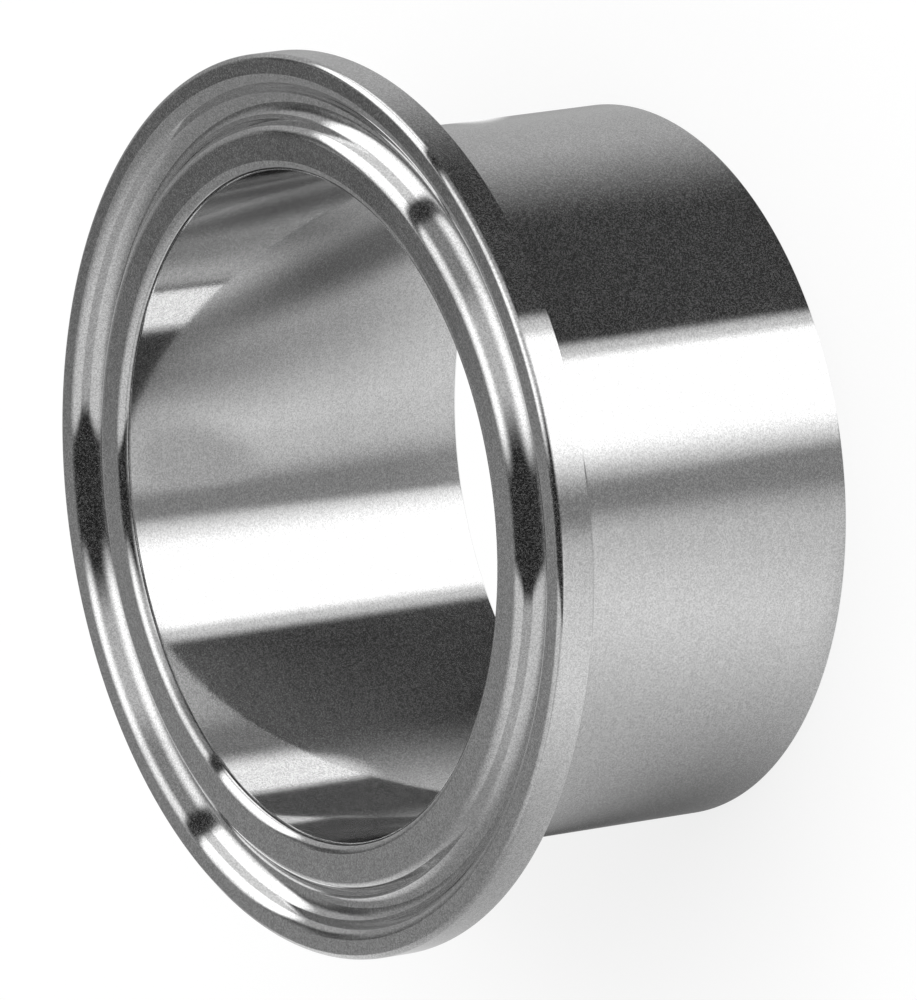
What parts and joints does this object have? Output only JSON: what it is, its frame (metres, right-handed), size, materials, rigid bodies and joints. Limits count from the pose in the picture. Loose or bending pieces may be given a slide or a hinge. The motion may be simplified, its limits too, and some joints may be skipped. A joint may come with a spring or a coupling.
{
  "type": "pipe ferrule",
  "caption": "Short round steel tube with a thin flange at one end, grooved for a gasket in front and tapered behind for a clamp, and cut square at the other end for welding to a pipe.",
  "frame": {"origin": "centre of the weld end, where the ferrule's axis meets the plane that it stands on", "axes": "+Z along the ferrule's axis, from the weld end to the sealing face; X and Y are any two directions across it"},
  "size_m": [0.064, 0.064, 0.0286],
  "materials": {
    "stainless_steel": "polished"
  },
  "bodies": {
    "root": {"clamp_ferrule": "stainless_steel"}
  },
  "joints": []
}
